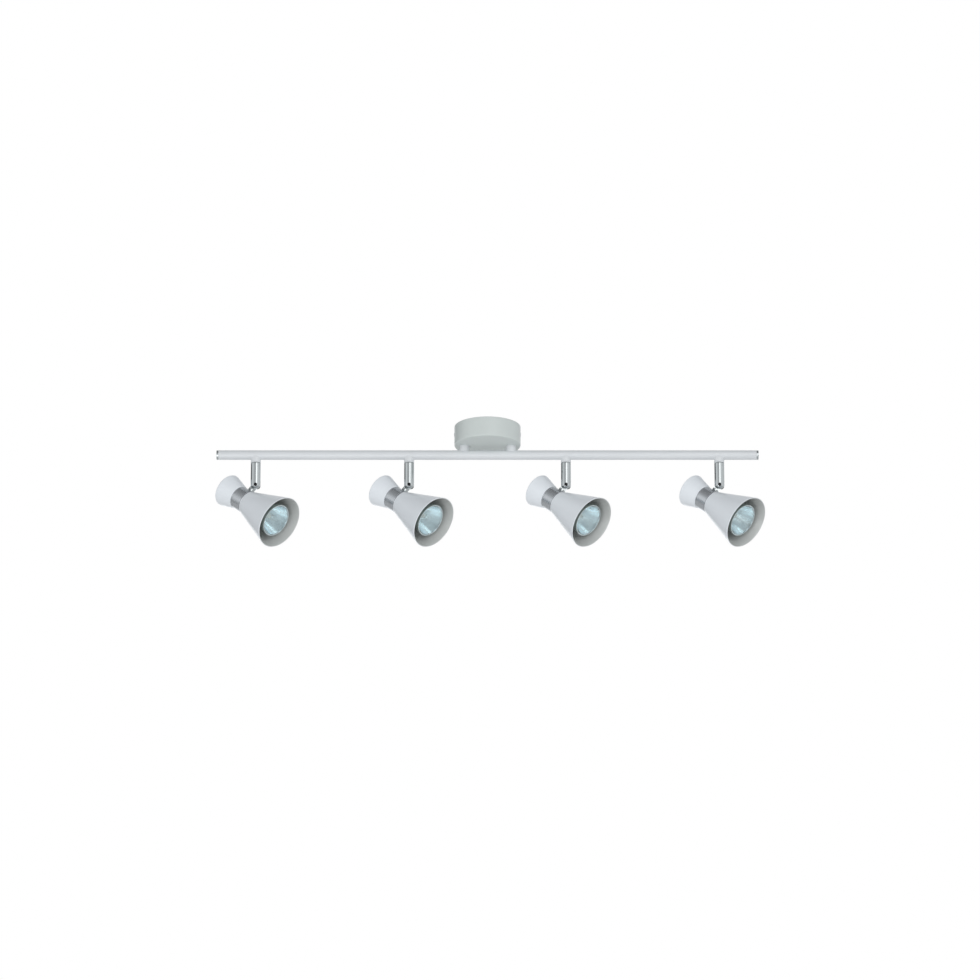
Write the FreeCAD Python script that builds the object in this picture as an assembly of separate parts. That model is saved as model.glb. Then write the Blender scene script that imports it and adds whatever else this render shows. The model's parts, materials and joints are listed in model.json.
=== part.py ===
import FreeCAD, Part
import math
import os

# A ceiling bar with four aimable spot heads, one closed solid per piece, in millimetres.
# The origin is the middle of the bracket's upper face, which lies against the ceiling. +Z is up,
# the bar runs along X, and the heads' pin screws are reached from the -Y side.
# Each head hangs on three joints: the stem swivels in its boss, the tongue tilts on the pin
# screw, and the head turns on the tongue's nipple. TILT_ANGLE and TURN_ANGLE pose them at rest.

# Canopy
CANOPY_RADIUS = 49.3
CANOPY_HEIGHT = 30.0
CANOPY_WALL = 1.2
CANOPY_EDGE_RADIUS = 2.0

# Bracket behind the canopy, with the two screws that hold the canopy on it
BRACKET_THICKNESS = 1.5
BRACKET_WIDTH = 16.0
BRACKET_TAB_DROP = 20.0
BRACKET_WALL_GAP = 1.6
CEILING_SLOT_SPACING = 60.0
CEILING_SLOT_LENGTH = 12.0
CEILING_SLOT_RADIUS = 2.25
COVER_SCREW_RADIUS = 2.0
COVER_SCREW_LENGTH = 9.0
COVER_SCREW_DROP = 12.0
COVER_SCREW_HEAD_RADIUS = 2.8
COVER_SCREW_HEAD_HEIGHT = 0.5
SCREW_HOLE_CLEARANCE = 0.2

# Terminal block under the bracket
BLOCK_LENGTH = 30.0
BLOCK_WIDTH = 17.0
BLOCK_HEIGHT = 13.0
BLOCK_POLES = 3
BLOCK_WIRE_RADIUS = 1.7
BLOCK_SCREW_RADIUS = 2.0
BLOCK_SCREW_DEPTH = 4.0

# Posts between the canopy and the bar
POST_SPACING = 69.2
POST_RADIUS = 7.3
POST_STUD_RADIUS = 5.0
POST_STUD_LENGTH = 10.0
POST_BORE_RADIUS = 3.0
POST_SPIGOT_RADIUS = 4.2
POST_SADDLE_DEPTH = 2.7
POST_NUT_FLATS = 17.0
POST_NUT_HEIGHT = 5.0

# Bar tube and its end caps
BAR_DROP = 44.0
BAR_RADIUS = 7.15
BAR_WALL = 1.0
BAR_LENGTH = 807.4
CAP_LENGTH = 3.5
CAP_DOME = 0.8
CAP_PLUG_LENGTH = 8.0
CAP_PLUG_WALL = 1.2

# Where the heads hang along the bar
OUTER_HEAD_OFFSET = 344.5
INNER_HEAD_OFFSET = 116.5
HEAD_OFFSETS = (-OUTER_HEAD_OFFSET, -INNER_HEAD_OFFSET, INNER_HEAD_OFFSET, OUTER_HEAD_OFFSET)

# Boss under the bar
BOSS_RADIUS = 7.4
BOSS_BELOW_BAR = 5.55
BOSS_SADDLE_DEPTH = 3.55
BOSS_COLLAR_RADIUS = 5.0
BOSS_COLLAR_BELOW_AXIS = 2.9

# Stem: a spigot that turns in the boss, a long barrel, and a slotted foot
RUNNING_CLEARANCE = 0.05
THRUST_GAP = 0.1
STEM_RADIUS = 7.4
STEM_SPIGOT_RADIUS = 4.0
STEM_THREAD_RADIUS = 3.0
STEM_THREAD_LENGTH = 4.3
STEM_WIRE_RADIUS = 1.8
STEM_TOP_CHAMFER = 0.5
STEM_TOP_TO_PIN = 35.3
PIN_TO_STEM_FOOT = 5.1
STEM_FOOT_ROUND = 5.0
STEM_NUT_RADIUS = 4.8
STEM_NUT_HEIGHT = 2.6

# Pin screw across the slot
PIN_RADIUS = 1.5
PIN_HEAD_RADIUS = 2.4
PIN_HEAD_LENGTH = 2.4
PIN_HEAD_INSET = 0.4
PIN_HEAD_SIDE_GAP = 0.2
PIN_END_COVER = 1.4
PIN_SOCKET_FLATS = 2.5
PIN_SOCKET_DEPTH = 1.3

# Tongue and nipple
TONGUE_RADIUS = 4.8
TONGUE_THICKNESS = 3.4
TONGUE_SIDE_GAP = 0.3
TONGUE_TOP_GAP = 1.2
TONGUE_COLLAR_RADIUS = 5.0
TONGUE_COLLAR_HEIGHT = 2.5
TONGUE_COLLAR_GAP = 0.3
NIPPLE_RADIUS = 3.0
NIPPLE_NUT_FLATS = 7.6
NIPPLE_NUT_HEIGHT = 2.6
NIPPLE_NUT_GAP = 0.2
NIPPLE_PROUD = 0.6

# Pose of the head at rest
PIN_TO_HEAD_AXIS = 28.6
TILT_ANGLE = 40.4
TURN_ANGLE = 26.7

# Head: lengths are measured forwards along the head's axis from the nipple
SHADE_WALL = 1.2
NECK_RADIUS = 17.9
NECK_REAR = -8.2
NECK_FRONT = 11.8
REAR_RADIUS = 24.9
REAR_END = -35.2
REAR_EDGE_ROUND = 2.0
MOUTH_RADIUS = 40.0
MOUTH_END = 82.2
BAND_RADIUS = 17.5
BAND_SLEEVE_WALL = 1.0
BAND_SLEEVE_LENGTH = 4.8
VENT_COUNT = 6
VENT_WIDTH = 2.4
VENT_INNER = 8.0
VENT_OUTER = 17.0

# Lamp holder, and the lamp of 50 mm face with two locking pins
LAMP_FACE_RADIUS = 25.0
LAMP_FACE_SETBACK = 6.4
LAMP_LENGTH = 46.5
LAMP_BASE_RADIUS = 12.0
LAMP_BASE_LENGTH = 12.7
LAMP_RIM_LENGTH = 3.2
LAMP_GLASS_WALL = 2.1
LENS_RIM = 1.4
LENS_EDGE = 1.6
LENS_DOME = 0.8
LENS_SEAT = 0.9
CAPSULE_RADIUS = 4.2
CAPSULE_LENGTH = 17.0
LAMP_PIN_SPACING = 10.0
LAMP_PIN_RADIUS = 1.6
LAMP_PIN_HEAD_RADIUS = 2.5
LAMP_PIN_HEAD_LENGTH = 2.0
LAMP_PIN_LENGTH = 6.5
LAMP_PIN_CLEARANCE = 0.3
HOLDER_RADIUS = 12.6
HOLDER_FLANGE_LENGTH = 2.5
HOLDER_BEHIND_BAND_END = 3.5

# Levels that several pieces share
BAR_AXIS = -BAR_DROP
BAR_TOP = BAR_AXIS + BAR_RADIUS
BAR_BOTTOM = BAR_AXIS - BAR_RADIUS
BAR_BORE = BAR_RADIUS - BAR_WALL
BOSS_FOOT = BAR_BOTTOM - BOSS_BELOW_BAR
COLLAR_TOP = BAR_AXIS - BOSS_COLLAR_BELOW_AXIS
STEM_TOP = BOSS_FOOT - THRUST_GAP
STEM_SHOULDER = COLLAR_TOP + RUNNING_CLEARANCE
PIN_LEVEL = STEM_TOP - STEM_TOP_TO_PIN
SLOT_WIDTH = TONGUE_THICKNESS + 2 * TONGUE_SIDE_GAP
LAMP_FACE = MOUTH_END - LAMP_FACE_SETBACK
LAMP_SEAT = LAMP_FACE - LAMP_LENGTH
BAND_BORE = NECK_RADIUS - SHADE_WALL - BAND_SLEEVE_WALL

ALONG_X = FreeCAD.Vector(1, 0, 0)
ALONG_Y = FreeCAD.Vector(0, 1, 0)
ALONG_Z = FreeCAD.Vector(0, 0, 1)
ORIGIN = FreeCAD.Vector(0, 0, 0)


def rod(radius, start, end, axis):
    """A round bar of this radius between two positions along an axis through the origin."""
    return Part.makeCylinder(radius, end - start, axis * start, axis)


def upright(radius, bottom, top, x=0.0, y=0.0):
    """A vertical round bar."""
    return Part.makeCylinder(radius, top - bottom, FreeCAD.Vector(x, y, bottom), ALONG_Z)


def block(x_low, x_high, y_low, y_high, z_low, z_high):
    """A box between these bounds."""
    corner = FreeCAD.Vector(x_low, y_low, z_low)
    return Part.makeBox(x_high - x_low, y_high - y_low, z_high - z_low, corner)


def turned(outline, axis):
    """Revolve an outline of (along, radius) points; a pair of points in one entry is an arc."""
    def place(point):
        along, radius = point
        side = ALONG_Z if axis == ALONG_X else ALONG_X
        return axis * along + side * radius

    edges = []
    last = place(outline[0])
    for entry in outline[1:]:
        if isinstance(entry[0], tuple):
            middle, end = place(entry[0]), place(entry[1])
            edges.append(Part.Arc(last, middle, end).toShape())
        else:
            end = place(entry)
            edges.append(Part.makeLine(last, end))
        last = end
    edges.append(Part.makeLine(last, place(outline[0])))
    return Part.Face(Part.Wire(edges)).revolve(ORIGIN, axis, 360)


def corner_arc(centre, radius, start_angle, end_angle):
    """Middle and end points of an arc about a centre, for an outline of (along, radius) points."""
    points = []
    for angle in ((start_angle + end_angle) / 2, end_angle):
        turn = math.radians(angle)
        points.append((centre[0] + radius * math.cos(turn), centre[1] + radius * math.sin(turn)))
    return tuple(points)


def dome(edge_along, edge_radius, height):
    """Middle and end points of a spherical dome's outline, from its edge to the axis."""
    ball_radius = (edge_radius ** 2 + height ** 2) / (2 * height)
    edge_angle = math.degrees(math.asin(edge_radius / ball_radius))
    return corner_arc((edge_along + height - ball_radius, 0.0), ball_radius, edge_angle, 0)


def hexagon(flats, bottom, top):
    """A vertical six-sided bar with this size across flats."""
    corner_radius = flats / math.sqrt(3)
    corners = []
    for step in range(7):
        turn = math.radians(60 * step)
        across, deep = corner_radius * math.cos(turn), corner_radius * math.sin(turn)
        corners.append(FreeCAD.Vector(across, deep, bottom))
    return Part.Face(Part.makePolygon(corners)).extrude(ALONG_Z * (top - bottom))


def moved(shape, x=0.0, y=0.0, z=0.0):
    """A copy of a shape shifted by these distances."""
    return shape.translated(FreeCAD.Vector(x, y, z))


def canopy_cover():
    """Round cup, open to the ceiling, with holes for the two posts and the two side screws."""
    radius, height, edge, wall = CANOPY_RADIUS, CANOPY_HEIGHT, CANOPY_EDGE_RADIUS, CANOPY_WALL
    centre = (edge - height, radius - edge)
    cup = turned([(0.0, radius), (centre[0], radius), corner_arc(centre, edge, 90, 180),
                  (-height, 0.0), (wall - height, 0.0), (wall - height, centre[1]),
                  corner_arc(centre, edge - wall, 180, 90), (0.0, radius - wall)], ALONG_Z)
    for side in (-1, 1):
        cup = cup.cut(upright(POST_STUD_RADIUS, -height - 1, wall - height + 1, side * POST_SPACING / 2))
    screw_hole = rod(COVER_SCREW_RADIUS + SCREW_HOLE_CLEARANCE, -radius - 1, radius + 1, ALONG_X)
    return cup.cut(moved(screw_hole, z=-COVER_SCREW_DROP))


def ceiling_bracket():
    """Strap with two slots for ceiling screws and a bent tab at each end for a cover screw."""
    reach = CANOPY_RADIUS - CANOPY_WALL - BRACKET_WALL_GAP
    half_width = BRACKET_WIDTH / 2
    strap = block(-reach, reach, -half_width, half_width, -BRACKET_THICKNESS, 0.0)
    for side in (-1, 1):
        tab_x = sorted((side * reach, side * (reach - BRACKET_THICKNESS)))
        strap = strap.fuse(block(tab_x[0], tab_x[1], -half_width, half_width, -BRACKET_TAB_DROP, 0.0))
    strap = strap.removeSplitter()
    half_straight = CEILING_SLOT_LENGTH / 2 - CEILING_SLOT_RADIUS
    for side in (-1, 1):
        middle = side * CEILING_SLOT_SPACING / 2
        slot = block(middle - half_straight, middle + half_straight, -CEILING_SLOT_RADIUS,
                     CEILING_SLOT_RADIUS, -BRACKET_THICKNESS - 1, 1.0)
        for end in (-half_straight, half_straight):
            slot = slot.fuse(upright(CEILING_SLOT_RADIUS, -BRACKET_THICKNESS - 1, 1.0, middle + end))
        strap = strap.cut(slot)
    return strap.cut(moved(rod(COVER_SCREW_RADIUS, -reach - 1, reach + 1, ALONG_X), z=-COVER_SCREW_DROP))


def cover_screw(side):
    """Low round-headed screw through the canopy's wall into a bracket tab."""
    under_head = CANOPY_RADIUS
    head_top = under_head + COVER_SCREW_HEAD_HEIGHT
    head_edge = under_head + COVER_SCREW_HEAD_HEIGHT / 2
    bevel = COVER_SCREW_HEAD_RADIUS - COVER_SCREW_HEAD_HEIGHT
    tip = under_head - COVER_SCREW_LENGTH
    screw = turned([(tip, 0.0), (tip, COVER_SCREW_RADIUS),
                    (under_head, COVER_SCREW_RADIUS), (under_head, COVER_SCREW_HEAD_RADIUS),
                    (head_edge, COVER_SCREW_HEAD_RADIUS), (head_top, bevel), (head_top, 0.0)], ALONG_X)
    drive = block(head_edge, head_top + 1, -bevel, bevel, -bevel / 5, bevel / 5)
    screw = screw.cut(drive)
    if side < 0:
        screw = screw.rotated(ORIGIN, ALONG_Z, 180)
    return moved(screw, z=-COVER_SCREW_DROP)


def terminal_block():
    """Moulded block with one through hole for the wires and one screw well per pole."""
    top = -BRACKET_THICKNESS
    bottom = top - BLOCK_HEIGHT
    half_width = BLOCK_WIDTH / 2
    body = block(-BLOCK_LENGTH / 2, BLOCK_LENGTH / 2, -half_width, half_width, bottom, top)
    pitch = BLOCK_LENGTH / BLOCK_POLES
    for pole in range(BLOCK_POLES):
        x = (pole - (BLOCK_POLES - 1) / 2) * pitch
        wire_hole = rod(BLOCK_WIRE_RADIUS, -half_width - 1, half_width + 1, ALONG_Y)
        body = body.cut(moved(wire_hole, x=x, z=(top + bottom) / 2))
        body = body.cut(upright(BLOCK_SCREW_RADIUS, bottom - 1, bottom + BLOCK_SCREW_DEPTH, x))
    return body


def post(x):
    """Hollow post: a stud through the canopy above, a saddle and a spigot into the bar below."""
    canopy_foot = -CANOPY_HEIGHT
    body = upright(POST_RADIUS, BAR_TOP - POST_SADDLE_DEPTH, canopy_foot)
    body = body.cut(moved(rod(BAR_RADIUS, -POST_RADIUS - 1, POST_RADIUS + 1, ALONG_X), z=BAR_AXIS))
    body = body.fuse(upright(POST_STUD_RADIUS, canopy_foot, canopy_foot + POST_STUD_LENGTH))
    body = body.fuse(upright(POST_SPIGOT_RADIUS, BAR_TOP - 2 * BAR_WALL, canopy_foot))
    bore = upright(POST_BORE_RADIUS, BAR_BOTTOM, canopy_foot + POST_STUD_LENGTH + 1)
    return moved(body.cut(bore).removeSplitter(), x=x)


def post_nut(x):
    """Hexagon nut on a post's stud, inside the canopy."""
    seat = CANOPY_WALL - CANOPY_HEIGHT
    nut = hexagon(POST_NUT_FLATS, seat, seat + POST_NUT_HEIGHT)
    return moved(nut.cut(upright(POST_STUD_RADIUS, seat - 1, seat + POST_NUT_HEIGHT + 1)), x=x)


def bar_tube():
    """Round tube with two holes above for the posts and four below for the bosses."""
    half_length = BAR_LENGTH / 2 - CAP_LENGTH
    tube = rod(BAR_RADIUS, -half_length, half_length, ALONG_X)
    tube = tube.cut(rod(BAR_BORE, -half_length - 1, half_length + 1, ALONG_X))
    tube = moved(tube, z=BAR_AXIS)
    for side in (-1, 1):
        tube = tube.cut(upright(POST_SPIGOT_RADIUS, BAR_AXIS, BAR_TOP + 1, side * POST_SPACING / 2))
    for x in HEAD_OFFSETS:
        tube = tube.cut(upright(BOSS_COLLAR_RADIUS, BAR_BOTTOM - 1, BAR_AXIS, x))
    return tube


def end_cap(side):
    """Cap with a shallow dome and a hollow plug inside the tube."""
    face = BAR_LENGTH / 2
    seat = face - CAP_LENGTH
    plug_end = seat - CAP_PLUG_LENGTH
    plug_bore = BAR_BORE - CAP_PLUG_WALL
    dome_edge = face - CAP_DOME
    cap = turned([(plug_end, plug_bore), (plug_end, BAR_BORE), (seat, BAR_BORE), (seat, BAR_RADIUS),
                  (dome_edge, BAR_RADIUS), dome(dome_edge, BAR_RADIUS, CAP_DOME), (seat, 0.0),
                  (seat, plug_bore)], ALONG_X)
    if side < 0:
        cap = cap.rotated(ORIGIN, ALONG_Z, 180)
    return moved(cap, z=BAR_AXIS)


def boss(x):
    """Saddle under the bar, with a collar that reaches into the tube and a bore for the stem."""
    saddle_top = BAR_BOTTOM + BOSS_SADDLE_DEPTH
    body = upright(BOSS_RADIUS, BOSS_FOOT, saddle_top)
    body = body.cut(moved(rod(BAR_RADIUS, -BOSS_RADIUS - 1, BOSS_RADIUS + 1, ALONG_X), z=BAR_AXIS))
    body = body.fuse(upright(BOSS_COLLAR_RADIUS, BOSS_FOOT, COLLAR_TOP)).removeSplitter()
    bore = upright(STEM_SPIGOT_RADIUS + RUNNING_CLEARANCE, BOSS_FOOT - 1, COLLAR_TOP + 1)
    return moved(body.cut(bore), x=x)


def stem(x):
    """Swivelling barrel with a spigot and thread above, and a slotted round foot with a pin hole."""
    foot = PIN_LEVEL - PIN_TO_STEM_FOOT
    thread_top = STEM_SHOULDER + STEM_THREAD_LENGTH
    round_centre = (foot + STEM_FOOT_ROUND, STEM_RADIUS - STEM_FOOT_ROUND)
    body = turned([(foot, 0.0), (foot, round_centre[1]), corner_arc(round_centre, STEM_FOOT_ROUND, 180, 90),
                   (STEM_TOP - STEM_TOP_CHAMFER, STEM_RADIUS), (STEM_TOP, STEM_RADIUS - STEM_TOP_CHAMFER),
                   (STEM_TOP, STEM_SPIGOT_RADIUS), (STEM_SHOULDER, STEM_SPIGOT_RADIUS),
                   (STEM_SHOULDER, STEM_THREAD_RADIUS), (thread_top, STEM_THREAD_RADIUS),
                   (thread_top, 0.0)], ALONG_Z)
    roof = PIN_LEVEL + TONGUE_RADIUS + TONGUE_TOP_GAP
    reach, side = STEM_RADIUS + 1, SLOT_WIDTH / 2
    body = body.cut(block(-reach, reach, -side, side, foot - 1, roof))
    body = body.cut(upright(STEM_WIRE_RADIUS, PIN_LEVEL, thread_top + 1))
    head_seat = PIN_HEAD_INSET + PIN_HEAD_LENGTH - STEM_RADIUS
    holes = rod(PIN_HEAD_RADIUS + PIN_HEAD_SIDE_GAP, -STEM_RADIUS - 1, head_seat, ALONG_Y)
    holes = holes.fuse(rod(PIN_RADIUS, head_seat - 1, STEM_RADIUS - PIN_END_COVER, ALONG_Y))
    return moved(body.cut(moved(holes, z=PIN_LEVEL)), x=x)


def stem_nut(x):
    """Round nut on the stem's thread that keeps the stem up in its boss."""
    nut = upright(STEM_NUT_RADIUS, STEM_SHOULDER, STEM_SHOULDER + STEM_NUT_HEIGHT)
    hole = upright(STEM_THREAD_RADIUS, STEM_SHOULDER - 1, STEM_SHOULDER + STEM_NUT_HEIGHT + 1)
    return moved(nut.cut(hole), x=x)


def pin_screw(x):
    """Screw with a hexagon socket, sunk in the front of the stem's foot."""
    face = PIN_HEAD_INSET - STEM_RADIUS
    seat = face + PIN_HEAD_LENGTH
    screw = rod(PIN_HEAD_RADIUS, face, seat, ALONG_Y)
    screw = screw.fuse(rod(PIN_RADIUS, seat, STEM_RADIUS - PIN_END_COVER, ALONG_Y))
    socket = hexagon(PIN_SOCKET_FLATS, -1.0, PIN_SOCKET_DEPTH).rotated(ORIGIN, ALONG_X, -90)
    return moved(screw.cut(moved(socket, y=face)), x=x, z=PIN_LEVEL)


def tongue():
    """Flat tongue on the pin, with a round collar and a threaded nipple below it."""
    collar_foot = BAND_RADIUS + TONGUE_COLLAR_GAP - PIN_TO_HEAD_AXIS
    collar_top = collar_foot + TONGUE_COLLAR_HEIGHT
    half = TONGUE_THICKNESS / 2
    body = rod(TONGUE_RADIUS, -half, half, ALONG_Y)
    body = body.fuse(block(-TONGUE_RADIUS, TONGUE_RADIUS, -half, half, collar_top, 0.0))
    body = body.fuse(upright(TONGUE_COLLAR_RADIUS, collar_foot, collar_top))
    nipple_end = nipple_nut_top() - NIPPLE_NUT_HEIGHT - NIPPLE_PROUD
    body = body.fuse(upright(NIPPLE_RADIUS, nipple_end, collar_foot)).removeSplitter()
    return body.cut(rod(PIN_RADIUS + RUNNING_CLEARANCE, -half - 1, half + 1, ALONG_Y))


def nipple_nut_top():
    """Upper face of the nipple's nut, just clear of the band's bore at the nut's corners."""
    corner_radius = NIPPLE_NUT_FLATS / math.sqrt(3)
    return math.sqrt(BAND_BORE ** 2 - corner_radius ** 2) - NIPPLE_NUT_GAP - PIN_TO_HEAD_AXIS


def nipple_nut():
    """Hexagon nut on the nipple, inside the band."""
    top = nipple_nut_top()
    bottom = top - NIPPLE_NUT_HEIGHT
    return hexagon(NIPPLE_NUT_FLATS, bottom, top).cut(upright(NIPPLE_RADIUS, bottom - 1, top + 1))


def neck_band():
    """Ring between the two shades, with a sleeve inside each and a hole for the nipple."""
    sleeve = BAND_BORE + BAND_SLEEVE_WALL
    rear, front = NECK_REAR, NECK_FRONT
    band = turned([(rear - BAND_SLEEVE_LENGTH, BAND_BORE), (rear - BAND_SLEEVE_LENGTH, sleeve),
                   (rear, sleeve), (rear, BAND_RADIUS), (front, BAND_RADIUS), (front, sleeve),
                   (front + BAND_SLEEVE_LENGTH, sleeve), (front + BAND_SLEEVE_LENGTH, BAND_BORE)], ALONG_X)
    return band.cut(upright(NIPPLE_RADIUS + RUNNING_CLEARANCE, 0.0, BAND_RADIUS + 1))


def rear_shade():
    """Short flared cup behind the band, with vent slots in its back."""
    back_wall = REAR_END + SHADE_WALL
    edge_start = REAR_END + REAR_EDGE_ROUND
    neck_inner = NECK_RADIUS - SHADE_WALL
    rear_inner = REAR_RADIUS - SHADE_WALL
    edge_centre = (edge_start, REAR_RADIUS - REAR_EDGE_ROUND)
    inner_round = REAR_EDGE_ROUND - SHADE_WALL
    cup = turned([(NECK_REAR, neck_inner), (NECK_REAR, NECK_RADIUS), (edge_start, REAR_RADIUS),
                  corner_arc(edge_centre, REAR_EDGE_ROUND, 90, 180), (REAR_END, 0.0), (back_wall, 0.0),
                  (back_wall, rear_inner - inner_round),
                  corner_arc(edge_centre, inner_round, 180, 90)], ALONG_X)
    slot = block(REAR_END - 1, back_wall + 1, -VENT_WIDTH / 2, VENT_WIDTH / 2, VENT_INNER, VENT_OUTER)
    for vent in range(VENT_COUNT):
        cup = cup.cut(slot.rotated(ORIGIN, ALONG_X, vent * 360 / VENT_COUNT))
    return cup


def front_shade():
    """Long cone ahead of the band, open at its rounded mouth."""
    half_wall = SHADE_WALL / 2
    rim = MOUTH_END - half_wall
    return turned([(NECK_FRONT, NECK_RADIUS - SHADE_WALL), (NECK_FRONT, NECK_RADIUS), (rim, MOUTH_RADIUS),
                   ((MOUTH_END, MOUTH_RADIUS - half_wall), (rim, MOUTH_RADIUS - SHADE_WALL))], ALONG_X)


def lamp_holder():
    """Ceramic holder on a flange in the band's bore, with two pockets for the lamp's pins."""
    flange_start = NECK_FRONT - HOLDER_BEHIND_BAND_END
    body = rod(BAND_BORE, flange_start, flange_start + HOLDER_FLANGE_LENGTH, ALONG_X)
    body = body.fuse(rod(HOLDER_RADIUS, flange_start, LAMP_SEAT, ALONG_X)).removeSplitter()
    pocket_radius = LAMP_PIN_HEAD_RADIUS + LAMP_PIN_CLEARANCE
    pocket_end = LAMP_SEAT - LAMP_PIN_LENGTH - LAMP_PIN_CLEARANCE
    for side in (-1, 1):
        pocket = rod(pocket_radius, pocket_end, LAMP_SEAT + 1, ALONG_X)
        body = body.cut(moved(pocket, y=side * LAMP_PIN_SPACING / 2))
    return body


def lamp():
    """Reflector lamp: a flared glass body on its base, the light capsule inside and two pins."""
    neck_end = LAMP_SEAT + LAMP_BASE_LENGTH
    rim_start = LAMP_FACE - LENS_DOME - LAMP_RIM_LENGTH
    rim_end = LAMP_FACE - LENS_DOME
    lens_radius = LAMP_FACE_RADIUS - LENS_RIM
    lens_back = rim_end - LENS_EDGE
    seat_radius = lens_radius - LENS_SEAT
    outer_middle = ((neck_end + rim_start) / 2 - 1.0, (LAMP_BASE_RADIUS + LAMP_FACE_RADIUS) / 2 + 1.8)
    inner_middle = (outer_middle[0] + 1.0, outer_middle[1] - LAMP_GLASS_WALL)
    inner_start = (neck_end + LAMP_GLASS_WALL, LAMP_BASE_RADIUS - 2 * LAMP_GLASS_WALL)
    body = turned([(LAMP_SEAT, 0.0), (LAMP_SEAT, LAMP_BASE_RADIUS), (neck_end, LAMP_BASE_RADIUS),
                   (outer_middle, (rim_start, LAMP_FACE_RADIUS)), (rim_end, LAMP_FACE_RADIUS),
                   (rim_end, lens_radius), (lens_back, lens_radius), (lens_back, seat_radius),
                   (inner_middle, inner_start), (inner_start[0], CAPSULE_RADIUS),
                   (inner_start[0] + CAPSULE_LENGTH - CAPSULE_RADIUS, CAPSULE_RADIUS),
                   corner_arc((inner_start[0] + CAPSULE_LENGTH - CAPSULE_RADIUS, 0.0),
                              CAPSULE_RADIUS, 90, 0)], ALONG_X)
    for side in (-1, 1):
        pin = rod(LAMP_PIN_RADIUS, LAMP_SEAT - LAMP_PIN_LENGTH, LAMP_SEAT, ALONG_X)
        pin_end = LAMP_SEAT - LAMP_PIN_LENGTH
        pin = pin.fuse(rod(LAMP_PIN_HEAD_RADIUS, pin_end, pin_end + LAMP_PIN_HEAD_LENGTH, ALONG_X))
        body = body.fuse(moved(pin, y=side * LAMP_PIN_SPACING / 2))
    return body


def lamp_lens():
    """Front glass of the lamp, flat behind and slightly domed ahead."""
    radius = LAMP_FACE_RADIUS - LENS_RIM
    edge = LAMP_FACE - LENS_DOME
    back = edge - LENS_EDGE
    return turned([(back, 0.0), (back, radius), (edge, radius), dome(edge, radius, LENS_DOME)], ALONG_X)


def hung_from_pin(shape, x):
    """Place a shape of the tongue's frame, whose +Z runs from the head's axis to the pin."""
    tilted = shape.rotated(ORIGIN, ALONG_Y, TILT_ANGLE)
    return moved(tilted, x=x, z=PIN_LEVEL)


def on_nipple(shape, x):
    """Place a shape of the head's frame, whose +X is the way the mouth points."""
    turned_shape = shape.rotated(ORIGIN, ALONG_Z, -TURN_ANGLE)
    return hung_from_pin(moved(turned_shape, z=-PIN_TO_HEAD_AXIS), x)


def fixed_pieces():
    """Every piece of the ceiling part and the bar."""
    pieces = {
        "ceiling_bracket": ceiling_bracket(),
        "canopy_cover": canopy_cover(),
        "terminal_block": terminal_block(),
        "bar_tube": bar_tube(),
    }
    for name, side in (("left", -1), ("right", 1)):
        post_x = side * POST_SPACING / 2
        pieces["cover_screw_" + name] = cover_screw(side)
        pieces["post_" + name] = post(post_x)
        pieces["post_nut_" + name] = post_nut(post_x)
        pieces["end_cap_" + name] = end_cap(side)
    for number, x in enumerate(HEAD_OFFSETS, start=1):
        pieces["boss_%d" % number] = boss(x)
    return pieces


def head_pieces(number, x):
    """Every moving piece that hangs from one boss."""
    pieces = {
        "stem": stem(x),
        "stem_nut": stem_nut(x),
        "pin_screw": pin_screw(x),
        "tongue": hung_from_pin(tongue(), x),
        "nipple_nut": hung_from_pin(nipple_nut(), x),
        "neck_band": on_nipple(neck_band(), x),
        "rear_shade": on_nipple(rear_shade(), x),
        "front_shade": on_nipple(front_shade(), x),
        "lamp_holder": on_nipple(lamp_holder(), x),
        "lamp": on_nipple(lamp(), x),
        "lamp_lens": on_nipple(lamp_lens(), x),
    }
    return {"%s_%d" % (name, number): shape for name, shape in pieces.items()}


def main():
    """Write one STEP file for each piece."""
    os.makedirs("parts", exist_ok=True)
    pieces = fixed_pieces()
    for number, x in enumerate(HEAD_OFFSETS, start=1):
        pieces.update(head_pieces(number, x))
    for name, shape in pieces.items():
        shape.exportStep("parts/%s.step" % name)


main()
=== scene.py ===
"""A ceiling light bar with four aimable spot heads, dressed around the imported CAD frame.

Lengths inside the classes are millimetres and are scaled to metres where a mesh is made. Round
pieces are turned from outlines of (along, radius) points about the axes that the frame gives.
"""
import json
import logging
import math
from dataclasses import dataclass
from enum import Enum
from typing import Optional, Sequence

import bmesh
import bpy
import numpy as np
from mathutils import Matrix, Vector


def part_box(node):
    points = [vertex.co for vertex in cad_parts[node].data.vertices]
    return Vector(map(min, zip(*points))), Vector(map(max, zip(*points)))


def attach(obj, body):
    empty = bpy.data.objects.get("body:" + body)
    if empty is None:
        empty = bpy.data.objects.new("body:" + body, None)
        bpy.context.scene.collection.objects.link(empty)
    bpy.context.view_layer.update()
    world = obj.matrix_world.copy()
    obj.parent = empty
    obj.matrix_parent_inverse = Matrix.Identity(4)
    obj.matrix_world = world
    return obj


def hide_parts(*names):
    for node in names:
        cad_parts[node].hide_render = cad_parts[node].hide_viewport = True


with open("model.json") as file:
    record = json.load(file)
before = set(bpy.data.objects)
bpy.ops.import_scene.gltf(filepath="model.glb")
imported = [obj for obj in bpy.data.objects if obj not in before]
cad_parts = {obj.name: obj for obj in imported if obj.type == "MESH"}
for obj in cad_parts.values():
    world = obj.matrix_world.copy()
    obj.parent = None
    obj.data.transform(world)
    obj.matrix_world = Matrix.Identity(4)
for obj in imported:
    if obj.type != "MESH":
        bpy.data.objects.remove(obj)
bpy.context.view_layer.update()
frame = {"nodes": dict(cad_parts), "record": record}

LOG = logging.getLogger("spot_bar")
MM = 0.001
WELD = 1e-7
FLARE_POWER = 1.7
TURNS_IN_UV = 4
SHARP_ANGLE = math.radians(32)
MIX_COLOUR_A, MIX_COLOUR_B, MIX_RESULT = 6, 7, 2


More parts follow.
